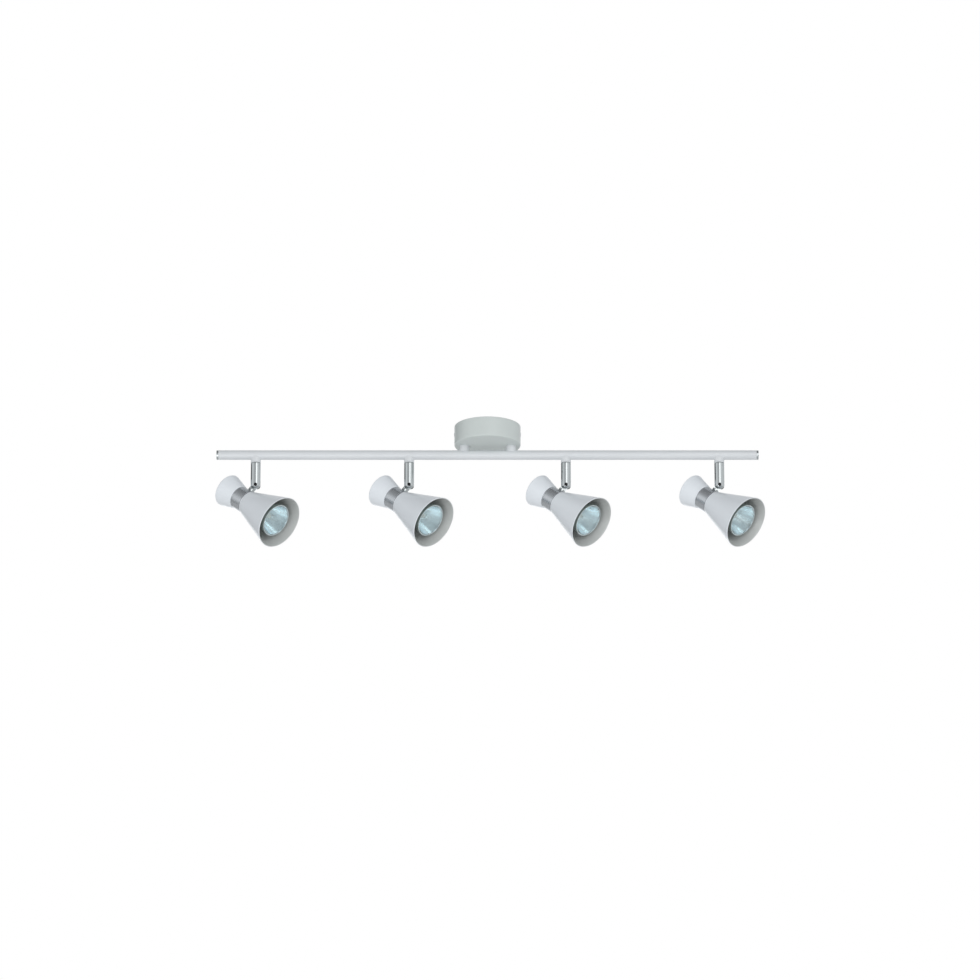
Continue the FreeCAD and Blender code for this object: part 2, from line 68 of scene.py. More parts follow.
class Slot(Enum):
    """The record's material slots that the pieces take their finishes from."""

    WHITE = "white_paint"
    SHADE = "shade_paint"
    CHROME = "chrome_trim"
    BAND = "brushed_band"
    SCREW = "black_screw"
    ZINC = "zinc_steel"
    BRASS = "brass_nut"
    BLOCK = "block_plastic"
    CERAMIC = "holder_ceramic"
    REFLECTOR = "lamp_reflector"
    GLASS = "lamp_glass"


class Follow(Enum):
    """What a finish's pattern follows: the object's space or the piece's own UV map."""

    OBJECT = "Object"
    UV = "UV"


# ---------------------------------------------------------------- node groups and finishes


class NodeSheet:
    """A thin wrapper on a node tree that adds and joins nodes in one line each."""

    def __init__(self, tree: bpy.types.NodeTree) -> None:
        """Keep the tree that the nodes go in.

        Args:
            tree: The node tree of a material, world or group.
        """
        self.tree = tree

    def add(self, kind: str, inputs: Optional[dict] = None, **settings: object) -> bpy.types.Node:
        """Add a node, set its properties, and give or join its inputs.

        Args:
            kind: The node's type, without the leading "ShaderNode" where it has one.
            inputs: Values or output sockets by input name or number.
            settings: Properties set on the node itself.

        Returns:
            The new node.
        """
        name = kind if kind.startswith("Node") else "ShaderNode" + kind
        node = self.tree.nodes.new(name)
        for key, value in settings.items():
            setattr(node, key, value)
        for key, value in (inputs or {}).items():
            if isinstance(value, bpy.types.NodeSocket):
                self.tree.links.new(value, node.inputs[key])
            else:
                node.inputs[key].default_value = value
        return node


def shader_group(name: str, inputs: dict, outputs: dict) -> tuple:
    """Start a shader node group with named sockets.

    Args:
        name: The group's name.
        inputs: Socket type and default value by input name.
        outputs: Socket type by output name.

    Returns:
        The group, its sheet, its input node and its output node.
    """
    group = bpy.data.node_groups.new(name, "ShaderNodeTree")
    for label, (kind, value) in inputs.items():
        socket = group.interface.new_socket(label, in_out="INPUT", socket_type=kind)
        if value is not None:
            socket.default_value = value
    for label, kind in outputs.items():
        group.interface.new_socket(label, in_out="OUTPUT", socket_type=kind)
    sheet = NodeSheet(group)
    return group, sheet, sheet.add("NodeGroupInput"), sheet.add("NodeGroupOutput")


def mottle_group() -> bpy.types.NodeTree:
    """Soft cloudy variation: two scales of noise averaged, then spread between Low and High.

    Returns:
        The node group, with a Value output.
    """
    group, sheet, given, result = shader_group(
        "mottle",
        {"Vector": ("NodeSocketVector", None), "Scale": ("NodeSocketFloat", 40.0),
         "Low": ("NodeSocketFloat", 0.0), "High": ("NodeSocketFloat", 1.0)},
        {"Value": "NodeSocketFloat"})
    place, scale = given.outputs["Vector"], given.outputs["Scale"]
    broad = sheet.add("TexNoise", {"Vector": place, "Scale": scale, "Detail": 3.0})
    finer = sheet.add("Math", {0: given.outputs["Scale"], 1: 4.7}, operation="MULTIPLY")
    fine = sheet.add("TexNoise", {"Vector": place, "Scale": finer.outputs[0], "Detail": 2.0})
    mean = sheet.add("Math", {0: broad.outputs[0], 1: fine.outputs[0]}, operation="ADD")
    spread = sheet.add("MapRange", {"Value": mean.outputs[0], "From Min": 0.7, "From Max": 1.3,
                                    "To Min": given.outputs["Low"], "To Max": given.outputs["High"]})
    sheet.tree.links.new(spread.outputs[0], result.inputs["Value"])
    return group


def drawn_lines_group() -> bpy.types.NodeTree:
    """Fine parallel lines, as a lathe or a brush leaves: noise drawn out along one direction.

    Returns:
        The node group, with a Height output.
    """
    group, sheet, given, result = shader_group(
        "drawn_lines",
        {"Vector": ("NodeSocketVector", None), "Across": ("NodeSocketFloat", 900.0),
         "Along": ("NodeSocketFloat", 12.0)},
        {"Height": "NodeSocketFloat"})
    parts = sheet.add("SeparateXYZ", {0: given.outputs["Vector"]})
    along = sheet.add("Math", {0: parts.outputs[0], 1: given.outputs["Along"]}, operation="MULTIPLY")
    side = sheet.add("Math", {0: parts.outputs[2], 1: given.outputs["Along"]}, operation="MULTIPLY")
    across = sheet.add("Math", {0: parts.outputs[1], 1: given.outputs["Across"]}, operation="MULTIPLY")
    drawn = sheet.add("CombineXYZ", {0: along.outputs[0], 1: across.outputs[0], 2: side.outputs[0]})
    noise = sheet.add("TexNoise", {"Vector": drawn.outputs[0], "Scale": 1.0, "Detail": 4.0})
    sheet.tree.links.new(noise.outputs[0], result.inputs["Height"])
    return group


class Effects:
    """The node groups that several finishes share, built once."""

    def __init__(self) -> None:
        """Build each group."""
        self.mottle = mottle_group()
        self.drawn_lines = drawn_lines_group()


@dataclass(frozen=True)
class Finish:
    """A surface finish: a base colour that drifts softly, a roughness that varies, and a fine relief."""

    name: str
    light: tuple
    dark: tuple
    roughness: float
    roughness_spread: float = 0.05
    metallic: float = 0.0
    coat: float = 0.0
    coat_roughness: float = 0.1
    specular: float = 0.5
    mottle_scale: float = 45.0
    relief_scale: float = 900.0
    relief: float = 0.05
    lines_across: float = 0.0
    lines_along: float = 12.0
    follows: Follow = Follow.OBJECT
    transmission: float = 0.0
    ior: float = 1.45

    def build(self, effects: Effects) -> bpy.types.Material:
        """Make the material.

        Args:
            effects: The shared node groups.

        Returns:
            A material with its own nodes.
        """
        material = bpy.data.materials.new(self.name)
        material.use_nodes = True
        sheet = NodeSheet(material.node_tree)
        shader = next(n for n in sheet.tree.nodes if n.type == "BSDF_PRINCIPLED")
        place = sheet.add("TexCoord").outputs[self.follows.value]
        cloud = self._group(sheet, effects.mottle, {"Vector": place, "Scale": self.mottle_scale})
        tint = sheet.add("Mix", data_type="RGBA")
        tint.inputs[MIX_COLOUR_A].default_value = (*self.dark, 1.0)
        tint.inputs[MIX_COLOUR_B].default_value = (*self.light, 1.0)
        sheet.tree.links.new(cloud.outputs["Value"], tint.inputs[0])
        sheet.tree.links.new(tint.outputs[MIX_RESULT], shader.inputs["Base Color"])
        gloss = self._group(sheet, effects.mottle, {
            "Vector": place, "Scale": self.mottle_scale * 3, "Low": self.roughness,
            "High": self.roughness + self.roughness_spread})
        sheet.tree.links.new(gloss.outputs["Value"], shader.inputs["Roughness"])
        sheet.tree.links.new(self._relief(sheet, effects, place), shader.inputs["Normal"])
        for socket, value in (("Metallic", self.metallic), ("Coat Weight", self.coat),
                              ("Coat Roughness", self.coat_roughness), ("Specular IOR Level", self.specular),
                              ("Transmission Weight", self.transmission), ("IOR", self.ior)):
            shader.inputs[socket].default_value = value
        return material

    def _relief(self, sheet: NodeSheet, effects: Effects,
                place: bpy.types.NodeSocket) -> bpy.types.NodeSocket:
        """Fine bump: drawn lines where the finish has them, and a grain everywhere.

        Args:
            sheet: The material's sheet.
            effects: The shared node groups.
            place: The coordinates that the pattern follows.

        Returns:
            The bump node's normal output.
        """
        if self.lines_across:
            height = self._group(sheet, effects.drawn_lines, {
                "Vector": place, "Across": self.lines_across, "Along": self.lines_along}).outputs["Height"]
        else:
            grain = sheet.add("TexNoise", {"Vector": place, "Scale": self.relief_scale, "Detail": 2.0})
            height = grain.outputs[0]
        bump = sheet.add("Bump", {"Height": height, "Strength": self.relief, "Distance": 0.2 * MM})
        return bump.outputs["Normal"]

    @staticmethod
    def _group(sheet: NodeSheet, group: bpy.types.NodeTree, inputs: dict) -> bpy.types.Node:
        """Place a shared group with its own values.

        Args:
            sheet: The material's sheet.
            group: The group to place.
            inputs: Its values and links.

        Returns:
            The group node.
        """
        node = sheet.add("Group")
        node.node_tree = group
        for key, value in inputs.items():
            if isinstance(value, bpy.types.NodeSocket):
                sheet.tree.links.new(value, node.inputs[key])
            else:
                node.inputs[key].default_value = value
        return node


FINISHES = {finish.name: finish for finish in (
    # The canopy's lacquer is the bar's white paint made darker and greener: the darker colour is painted
    # shade for the light that falls on the canopy.
    Finish("canopy_lacquer_painted_shade", (0.63, 0.68, 0.665), (0.62, 0.67, 0.655), 0.36, coat=0.1,
           mottle_scale=18.0, relief=0.03),
    Finish("bar_lacquer", (0.74, 0.765, 0.785), (0.72, 0.745, 0.765), 0.28, coat=0.3,
           mottle_scale=18.0, relief=0.02),
    Finish("shade_lacquer", (0.83, 0.87, 0.91), (0.823, 0.863, 0.903), 0.3, coat=0.35,
           mottle_scale=16.0, relief=0.02),
    Finish("shade_lining", (0.66, 0.68, 0.67), (0.64, 0.66, 0.65), 0.3, metallic=0.25,
           lines_across=6.0, lines_along=0.6, follows=Follow.UV, relief=0.12),
    Finish("chrome_plate", (0.57, 0.60, 0.605), (0.53, 0.56, 0.565), 0.07, roughness_spread=0.03,
           metallic=1.0, relief=0.01),
    Finish("satin_chrome", (0.56, 0.585, 0.61), (0.49, 0.515, 0.54), 0.2, metallic=1.0,
           lines_across=9.0, lines_along=0.5, follows=Follow.UV, relief=0.25),
    Finish("black_oxide", (0.035, 0.035, 0.038), (0.02, 0.02, 0.022), 0.35, metallic=0.6),
    Finish("zinc_plate", (0.62, 0.64, 0.65), (0.5, 0.52, 0.54), 0.32, metallic=1.0, mottle_scale=160.0),
    Finish("turned_brass", (0.75, 0.6, 0.32), (0.62, 0.48, 0.24), 0.28, metallic=1.0),
    Finish("moulded_nylon", (0.86, 0.85, 0.8), (0.8, 0.79, 0.74), 0.5, relief=0.1),
    Finish("steatite", (0.86, 0.84, 0.79), (0.78, 0.76, 0.71), 0.6, relief=0.2, relief_scale=1800.0),
    Finish("mirror_facets", (0.90, 0.975, 1.0), (0.70, 0.80, 0.85), 0.2, metallic=0.85,
           mottle_scale=150.0, relief=0.02),
    # Dark bluish glass for the lamp's body. On the outer ring of the lamp's front face its darkness is also
    # painted shadow round the lamp.
    Finish("lamp_glass_painted_rim_shadow", (0.25, 0.30, 0.29), (0.20, 0.25, 0.24), 0.15, coat=0.5),
    Finish("capsule_quartz", (0.92, 0.97, 0.94), (0.86, 0.92, 0.89), 0.12, coat=0.6),
    Finish("cover_glass", (0.95, 0.985, 0.98), (0.92, 0.97, 0.97), 0.03, roughness_spread=0.03,
           transmission=1.0, relief=0.06, relief_scale=260.0),
)}

FINISH_OF_SLOT = {
    Slot.WHITE: "bar_lacquer", Slot.SHADE: "shade_lacquer", Slot.CHROME: "chrome_plate",
    Slot.BAND: "satin_chrome", Slot.SCREW: "black_oxide", Slot.ZINC: "zinc_plate",
    Slot.BRASS: "turned_brass", Slot.BLOCK: "moulded_nylon", Slot.CERAMIC: "steatite",
    Slot.REFLECTOR: "lamp_glass_painted_rim_shadow", Slot.GLASS: "cover_glass",
}


# ---------------------------------------------------------------- surfaces


@dataclass(frozen=True)
class Axes:
    """A right-handed set of directions at an origin, in metres: the first is the turning axis."""

    origin: np.ndarray
    along: np.ndarray
    side: np.ndarray

    @property
    def third(self) -> np.ndarray:
        """The direction square to the other two."""
        return np.cross(self.along, self.side)

    def points(self, along: np.ndarray, side: np.ndarray, third: np.ndarray) -> np.ndarray:
        """Place arrays of local millimetres along these axes.

        Args:
            along: Distances along the turning axis.
            side: Distances along the second axis.
            third: Distances along the third axis.

        Returns:
            An array of points in metres, one axis longer than the inputs.
        """
        local = along[..., None] * self.along + side[..., None] * self.side + third[..., None] * self.third
        return self.origin + MM * local


def rounded(corners: Sequence[tuple], steps: int = 7, longest: float = 6.0) -> np.ndarray:
    """Outline through corners, with an arc tangent to both runs wherever a corner states a radius.

    Args:
        corners: (along, radius) or (along, radius, corner radius) in order; the ends stay sharp.
        steps: Points on each arc.
        longest: A straight run is divided so that no step is longer than this.

    Returns:
        An array of (along, radius) points.
    """
    flat = [np.array(c[:2], float) for c in corners]
    runs = [flat[0][None]]
    for before, here, after, corner in zip(flat, flat[1:], flat[2:], corners[1:]):
        size = corner[2] if len(corner) > 2 else 0.0
        if not size:
            runs.append(here[None])
            continue
        back = (before - here) / np.linalg.norm(before - here)
        ahead = (after - here) / np.linalg.norm(after - here)
        half = math.acos(float(np.clip(back @ ahead, -1, 1))) / 2
        reach = size / math.tan(half)
        centre = here + (back + ahead) / np.linalg.norm(back + ahead) * size / math.sin(half)
        start, end = here + back * reach - centre, here + ahead * reach - centre
        share = np.linspace(0, 1, steps)[:, None]
        sweep = math.pi - 2 * half
        arc = (np.sin((1 - share) * sweep) * start + np.sin(share * sweep) * end) / math.sin(sweep)
        runs.append(centre + arc)
    points = np.vstack(runs + [flat[-1][None]])
    lengths = np.linalg.norm(np.diff(points, axis=0), axis=1)
    parts = np.maximum(1, np.ceil(lengths / longest)).astype(int)
    pieces = [a + (b - a) * np.arange(n)[:, None] / n for a, b, n in zip(points[:-1], points[1:], parts)]
    return np.vstack(pieces + [points[-1:]])


def mesh_from(name: str, points: np.ndarray, faces: np.ndarray) -> bpy.types.Mesh:
    """A mesh of quads from whole arrays.

    Args:
        name: The mesh's name.
        points: Points in metres, one row each.
        faces: Four point numbers per row.

    Returns:
        The mesh, smooth all over.
    """
    mesh = bpy.data.meshes.new(name)
    mesh.vertices.add(len(points))
    mesh.vertices.foreach_set("co", points.astype(np.float32).ravel())
    mesh.loops.add(faces.size)
    mesh.loops.foreach_set("vertex_index", faces.astype(np.int32).ravel())
    mesh.polygons.add(len(faces))
    mesh.polygons.foreach_set("loop_start", np.arange(0, faces.size, 4, dtype=np.int32))
    mesh.polygons.foreach_set("use_smooth", np.ones(len(faces), dtype=bool))
    mesh.update(calc_edges=True)
    return mesh


def tidy_mesh(mesh: bpy.types.Mesh) -> None:
    """Weld seams and poles, turn every face outwards, and mark the sharp edges.

    Args:
        mesh: A mesh that closes once its doubles are merged.
    """
    shape = bmesh.new()
    shape.from_mesh(mesh)
    bmesh.ops.remove_doubles(shape, verts=shape.verts, dist=WELD)
    bmesh.ops.dissolve_degenerate(shape, dist=WELD, edges=shape.edges)
    bmesh.ops.recalc_face_normals(shape, faces=shape.faces)
    shape.to_mesh(mesh)
    shape.free()
    mesh.set_sharp_from_angle(angle=SHARP_ANGLE)


def turned(name: str, outline: np.ndarray, axes: Axes, segments: int = 96, loop: bool = False,
           lining: Optional[np.ndarray] = None, facets: Optional[np.ndarray] = None) -> bpy.types.Mesh:
    """Turn an outline about an axis: point = along * axis + radius * (cos t * side + sin t * third).

    Args:
        name: The mesh's name.
        outline: (along, radius) points; an open outline starts and ends on the axis.
        axes: Where the axis is.
        segments: Steps round the axis.
        loop: Whether the outline joins its last point to its first.
        lining: One flag per run of the outline that takes the second material.
        facets: One flag per run of the outline that is flat shaded.

    Returns:
        A closed mesh with a UV map: turns round the axis, and millimetres along the outline.
    """
    if loop:
        outline = np.vstack([outline, outline[:1]])
    turn = np.linspace(0, 2 * math.pi, segments + 1)
    along = np.repeat(outline[:, :1], segments + 1, axis=1)
    points = axes.points(along, outline[:, 1:] * np.cos(turn), outline[:, 1:] * np.sin(turn))
    run, step = np.meshgrid(np.arange(len(outline) - 1), np.arange(segments), indexing="ij")
    corner = (run * (segments + 1) + step).ravel()
    faces = np.stack([corner, corner + 1, corner + segments + 2, corner + segments + 1], axis=1)
    mesh = mesh_from(name, points.reshape(-1, 3), faces)
    travelled = np.concatenate([[0.0], np.cumsum(np.linalg.norm(np.diff(outline, axis=0), axis=1))])
    across, down = np.broadcast_arrays(turn[None, :] * TURNS_IN_UV, travelled[:, None])
    grid = np.stack([across, down], axis=-1).reshape(-1, 2)
    mesh.uv_layers.new(name="turned").data.foreach_set("uv", grid[faces.ravel()].astype(np.float32).ravel())
    if lining is not None:
        mesh.polygons.foreach_set("material_index", np.repeat(lining.astype(np.int32), segments))
    if facets is not None:
        mesh.polygons.foreach_set("use_smooth", np.repeat(~facets, segments))
    tidy_mesh(mesh)
    return mesh


def prism(name: str, outline: np.ndarray, axes: Axes, low: float, high: float) -> bpy.types.Mesh:
    """Carry a closed flat outline straight along an axis, and close both ends with one face each.

    Args:
        name: The mesh's name.
        outline: (side, third) points in millimetres.
        axes: Where the outline stands; it is carried along the first axis.
        low: Where it starts.
        high: Where it ends.

    Returns:
        A closed mesh.
    """
    count = len(outline)
    ends = [axes.points(np.full(count, a), outline[:, 0], outline[:, 1]) for a in (low, high)]
    ring = np.arange(count)
    walls = np.stack([ring, np.roll(ring, -1), np.roll(ring, -1) + count, ring + count], axis=1)
    mesh = bpy.data.meshes.new(name)
    caps = [ring[::-1].tolist(), (ring + count).tolist()]
    mesh.from_pydata(np.vstack(ends).tolist(), [], walls.tolist() + caps)
    tidy_mesh(mesh)
    return mesh


def regular(count: int, radius: float, start: float = 0.0) -> np.ndarray:
    """Corners of a regular outline: radius * (cos t, sin t) at equal steps of t.

    Args:
        count: How many corners.
        radius: Their distance from the middle.
        start: The first corner's angle.

    Returns:
        An array of (side, third) points.
    """
    turn = start + np.arange(count) * 2 * math.pi / count
    return radius * np.stack([np.cos(turn), np.sin(turn)], axis=1)


def slotted(start: float, end: float, half_width: float, angle: float, steps: int = 9) -> np.ndarray:
    """Outline of a round-ended slot that lies between two distances from the middle.

    Args:
        start: The slot's near end.
        end: Its far end.
        half_width: Half its width, and the radius of its ends.
        angle: The way it points.
        steps: Points on each round end.

    Returns:
        An array of (side, third) points.
    """
    arc = np.linspace(-math.pi / 2, math.pi / 2, steps)
    far = np.stack([end - half_width + half_width * np.cos(arc), half_width * np.sin(arc)], axis=1)
    near = np.stack([start + half_width - half_width * np.cos(arc), -half_width * np.sin(arc)], axis=1)
    turned_by = np.array([[math.cos(angle), math.sin(angle)], [-math.sin(angle), math.cos(angle)]])
    return np.vstack([far, near]) @ turned_by


def carve(mesh: bpy.types.Mesh, cutters: Sequence[bpy.types.Mesh]) -> None:
    """Take the cutters' space out of a mesh.

    Args:
        mesh: The mesh that is cut, in place.
        cutters: Closed meshes, removed afterwards.
    """
    blank = bpy.data.objects.new("blank", mesh)
    bpy.context.scene.collection.objects.link(blank)
    tools = [bpy.data.objects.new("cutter", cutter) for cutter in cutters]
    for tool in tools:
        bpy.context.scene.collection.objects.link(tool)
        cut = blank.modifiers.new("cut", "BOOLEAN")
        cut.operation, cut.solver, cut.object = "DIFFERENCE", "EXACT", tool
    result = bpy.data.meshes.new_from_object(blank.evaluated_get(bpy.context.evaluated_depsgraph_get()))
    shape = bmesh.new()
    shape.from_mesh(result)
    shape.to_mesh(mesh)
    shape.free()
    bpy.data.objects.remove(blank)
    for tool in tools:
        cutter = tool.data
        bpy.data.objects.remove(tool)
        bpy.data.meshes.remove(cutter)
    bpy.data.meshes.remove(result)
    mesh.set_sharp_from_angle(angle=SHARP_ANGLE)


class Workshop:
    """Holds the finished materials, and turns meshes into pieces of the model."""

    def __init__(self) -> None:
        """Build every finish once."""
        effects = Effects()
        self.materials = {name: finish.build(effects) for name, finish in FINISHES.items()}

    def piece(self, mesh: bpy.types.Mesh, body: str, slot: Slot, finishes: Sequence[str],
              stands_for: Sequence[str]) -> bpy.types.Object:
        """Make a mesh a piece of the model.

        Args:
            mesh: The finished mesh, which gives the piece its name.
            body: The body that it rides on.
            slot: The record's slot of the piece; not used.
            finishes: Names of its materials, by material number.
            stands_for: The CAD nodes that it replaces.

        Returns:
            The new object.
        """
        piece = bpy.data.objects.new(mesh.name, mesh)
        bpy.context.scene.collection.objects.link(piece)
        for finish in finishes:
            mesh.materials.append(self.materials[finish])
        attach(piece, body)
        if stands_for:
            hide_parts(*stands_for)
        LOG.info("%s on %s: %d faces", mesh.name, body, len(mesh.polygons))
        return piece

    def dress_frame(self) -> None:
        """Give every CAD node the finish of its slot."""
        slots = {s["node"]: Slot(s["material_slot"]) for s in frame["record"]["subparts"]}
        for name, node in frame["nodes"].items():
            material = self.materials[FINISH_OF_SLOT[slots[name]]]
            if not node.material_slots:
                node.data.materials.append(material)
            for held in node.material_slots:
                held.material = material


# ---------------------------------------------------------------- sub-assemblies


def upright(x: float, y: float, z: float) -> Axes:
    """Axes whose turning axis points up, at a place in metres."""
    return Axes(np.array([x, y, z]), np.array([0.0, 0.0, 1.0]), np.array([1.0, 0.0, 0.0]))


@dataclass
class Canopy:
    """The round cup that covers the ceiling bracket."""

    radius: float = 49.3
    height: float = 30.0
    wall: float = 1.2
    edge_round: float = 2.0
    rim_round: float = 0.5

    def build(self, shop: Workshop) -> None:
        """Make the cup.

        Args:
            shop: The workshop that finishes the piece.
        """
        inner, floor = self.radius - self.wall, self.wall - self.height
        outline = rounded([(floor, 0.0), (floor, inner, self.edge_round - self.wall), (0.0, inner),
                           (0.0, self.radius, self.rim_round), (-self.height, self.radius, self.edge_round),
                           (-self.height, 0.0)])
        cup = turned("canopy_cup", outline, upright(0.0, 0.0, 0.0), segments=160)
        # The cup takes the darker copy of the white lacquer, which is painted shade.
        shop.piece(cup, "bar", Slot.WHITE, ["canopy_lacquer_painted_shade"], ["canopy_cover"])


@dataclass
class Bar:
    """The long tube and the caps in its ends."""

    radius: float = 7.15
    wall: float = 1.0
    cap_length: float = 3.5
    cap_dome: float = 0.8
    plug_length: float = 8.0
    plug_wall: float = 1.2

    def build(self, shop: Workshop) -> None:
        """Make the tube between the caps, and both caps.

        Args:
            shop: The workshop that finishes the pieces.
        """
        low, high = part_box("bar_tube")
        middle = (np.array(low) + np.array(high)) / 2
        half = (high[0] - low[0]) / 2 / MM
        for side, name in ((-1, "left"), (1, "right")):
            self._cap(shop, name, Axes(middle, np.array([side, 0.0, 0.0]), np.array([0.0, 0.0, 1.0])), half)
        bore, soft = self.radius - self.wall, 0.3
        ends = [(0.0, bore), (half, bore, soft), (half, self.radius, soft), (-half, self.radius, soft),
                (-half, bore, soft), (0.0, bore)]
        axes = Axes(middle, np.array([1.0, 0.0, 0.0]), np.array([0.0, 0.0, 1.0]))
        tube = turned("bar_sleeve", rounded(ends, longest=25.0), axes, segments=96)
        shop.piece(tube, "bar", Slot.WHITE, ["bar_lacquer"], ["bar_tube"])

    def _cap(self, shop: Workshop, name: str, axes: Axes, seat: float) -> None:
        """Make one end cap: a plug, a flange flush with the tube, and a shallow dome.

        Args:
            shop: The workshop that finishes the piece.
            name: Which end it is.
            axes: The tube's axes, pointing out of this end.
            seat: Where the tube ends.
        """
        bore = self.radius - self.wall
        edge = seat + self.cap_length - self.cap_dome
        ball = (self.radius ** 2 + self.cap_dome ** 2) / (2 * self.cap_dome)
        reach = np.linspace(math.asin(self.radius / ball), 0, 12)[1:]
        dome = np.stack([edge + self.cap_dome - ball + ball * np.cos(reach), ball * np.sin(reach)], axis=1)
        inner, tip = bore - self.plug_wall, seat - self.plug_length
        body = rounded([(seat, 0.0), (seat, inner), (tip, inner), (tip, bore), (seat, bore),
                        (seat, self.radius, 0.25), (edge, self.radius, 0.35), tuple(dome[0])])
        cap = turned("end_cap_%s_turned" % name, np.vstack([body, dome[1:]]), axes)
        shop.piece(cap, "bar", Slot.CHROME, ["chrome_plate"], ["end_cap_" + name])


@dataclass
class SpotHead:
    """One head: the stem, the pin screw, the two shades, the band between them, and the lamp."""

    number: int
    turn_angle: float = math.radians(26.7)
    pin_to_axis: float = 28.6
    shade_wall: float = 1.2
    neck_radius: float = 17.9
    neck_rear: float = -8.2
    neck_front: float = 11.8
    rear_radius: float = 25.2
    rear_end: float = -35.2
    rear_round: float = 2.0
    rear_ease: float = 0.3
    mouth_radius: float = 40.0
    mouth_end: float = 82.2
    lip_round: float = 0.58
    band_radius: float = 17.5
    band_bore: float = 15.7
    sleeve_length: float = 4.8
    sleeve_wall: float = 1.0
    groove_depth: float = 0.35
    groove_marks: tuple = (1.2, 1.4, 1.8, 2.0)
    vents: int = 6
    vent_half_width: float = 1.2
    vent_reach: tuple = (8.0, 17.0)
    lamp_radius: float = 25.0
    lamp_face: float = 75.8
    lamp_length: float = 46.5
    lamp_base: tuple = (12.0, 12.7)
    lamp_rim: float = 3.2
    bowl_floor: float = 2.1
    lens_rim: float = 1.4
    bright_ring: float = 0.8
    lens_edge: float = 1.6
    lens_dome: float = 0.8
    lens_ring: tuple = (0.62, 0.035, 0.18)
    facet_rings: int = 11
    facet_columns: int = 44
    lamp_pin_radius: float = 1.6
    lamp_pin_foot: float = 2.5
    lamp_pin_neck: float = 4.5
    lamp_pin_length: float = 6.5
    lamp_pin_offset: float = 5.0
    capsule_radius: float = 4.2
    capsule_length: float = 17.0
    stem_radius: float = 7.4
    stem_to_pin: float = 35.3
    stem_foot: float = 5.1
    stem_foot_round: float = 5.0
    stem_top_round: float = 1.2
    spigot_radius: float = 4.0
    spigot_length: float = 9.95
    thread_radius: float = 3.0
    thread_end: float = 14.25
    slot_width: float = 4.0
    slot_roof: float = 6.0
    screw_radius: float = 2.4
    screw_gap: float = 0.2
    socket_corner: float = 1.44
    socket_depth: float = 1.3
    screw_face: float = 7.0
    screw_seat: float = 4.6
    pin_radius: float = 1.5
    pin_end: float = 6.0

    def __post_init__(self) -> None:
        """Take the pin's place and the joints' axes from the frame."""
        joints = {j["name"]: j for j in frame["record"]["behaviour"]["joints"]}
        tilt, turn = joints["tilt_%d" % self.number], joints["turn_%d" % self.number]
        pin, across = np.array(tilt["pos_m"], float), np.array(tilt["axis"], float)
        up = np.array(turn["axis"], float)
        up /= np.linalg.norm(up)
        ahead = np.cross(across, up)
        mouth = math.cos(self.turn_angle) * ahead - math.sin(self.turn_angle) * across
        self.head_axes = Axes(pin - up * self.pin_to_axis * MM, mouth, up)
        self.pin_axes = Axes(pin, across, np.array([0.0, 0.0, 1.0]))
        self.stem_axes = upright(*pin)
        self.head_body = "head_%d" % self.number
        self.stem_body = "stem_body_%d" % self.number

    def build(self, shop: Workshop) -> None:
        """Make every piece of the head.

        Args:
            shop: The workshop that finishes the pieces.
        """
        self._stem(shop)
        self._pin_screw(shop)
        self._rear_shade(shop)
        self._band(shop)
        self._front_shade(shop)
        self._lamp(shop)
        self._lens(shop)

    def _named(self, name: str) -> str:
        """A piece's name with this head's number."""
        return "%s_%d" % (name, self.number)

    def _stem(self, shop: Workshop) -> None:
        """Barrel with a chamfered top and a round foot, slotted for the tongue.

        Args:
            shop: The workshop that finishes the piece.
        """
        top, spigot, thread = self.stem_to_pin, self.spigot_radius, self.thread_radius
        shoulder, end = top + self.spigot_length, top + self.thread_end
        outline = rounded([(-self.stem_foot, 0.0), (-self.stem_foot, self.stem_radius, self.stem_foot_round),
                           (top, self.stem_radius, self.stem_top_round), (top, spigot), (shoulder, spigot),
                           (shoulder, thread), (end, thread), (end, 0.0)], steps=14, longest=2.0)
        stem = turned(self._named("stem_barrel"), outline, self.stem_axes)
        half, wide, low = self.slot_width / 2, self.stem_radius + 1, -self.stem_foot - 1
        gap = np.array([[-wide, -half], [wide, -half], [wide, half], [-wide, half]])
        carve(stem, [
            prism("slot", gap, self.stem_axes, low, self.slot_roof),
            prism("sink", regular(48, self.screw_radius + self.screw_gap), self.pin_axes,
                  -wide, -self.screw_seat),
            prism("hole", regular(32, self.pin_radius), self.pin_axes, -self.screw_seat - 1, self.pin_end)])
        shop.piece(stem, self.stem_body, Slot.CHROME, ["chrome_plate"], [self._named("stem")])

    def _pin_screw(self, shop: Workshop) -> None:
        """Round-edged screw head with a hexagon socket, on a plain shank.

        Args:
            shop: The workshop that finishes the piece.
        """
        outline = rounded([(-self.screw_face, 0.0), (-self.screw_face, self.screw_radius, 0.35),
                           (-self.screw_seat, self.screw_radius), (-self.screw_seat, self.pin_radius),
                           (self.pin_end, self.pin_radius, 0.2), (self.pin_end, 0.0)], longest=1.0)
        screw = turned(self._named("pin_screw_turned"), outline, self.pin_axes, segments=48)
        carve(screw, [prism("socket", regular(6, self.socket_corner), self.pin_axes,
                            -self.screw_face - 1, self.socket_depth - self.screw_face)])
        shop.piece(screw, self.stem_body, Slot.SCREW, ["black_oxide"], [self._named("pin_screw")])

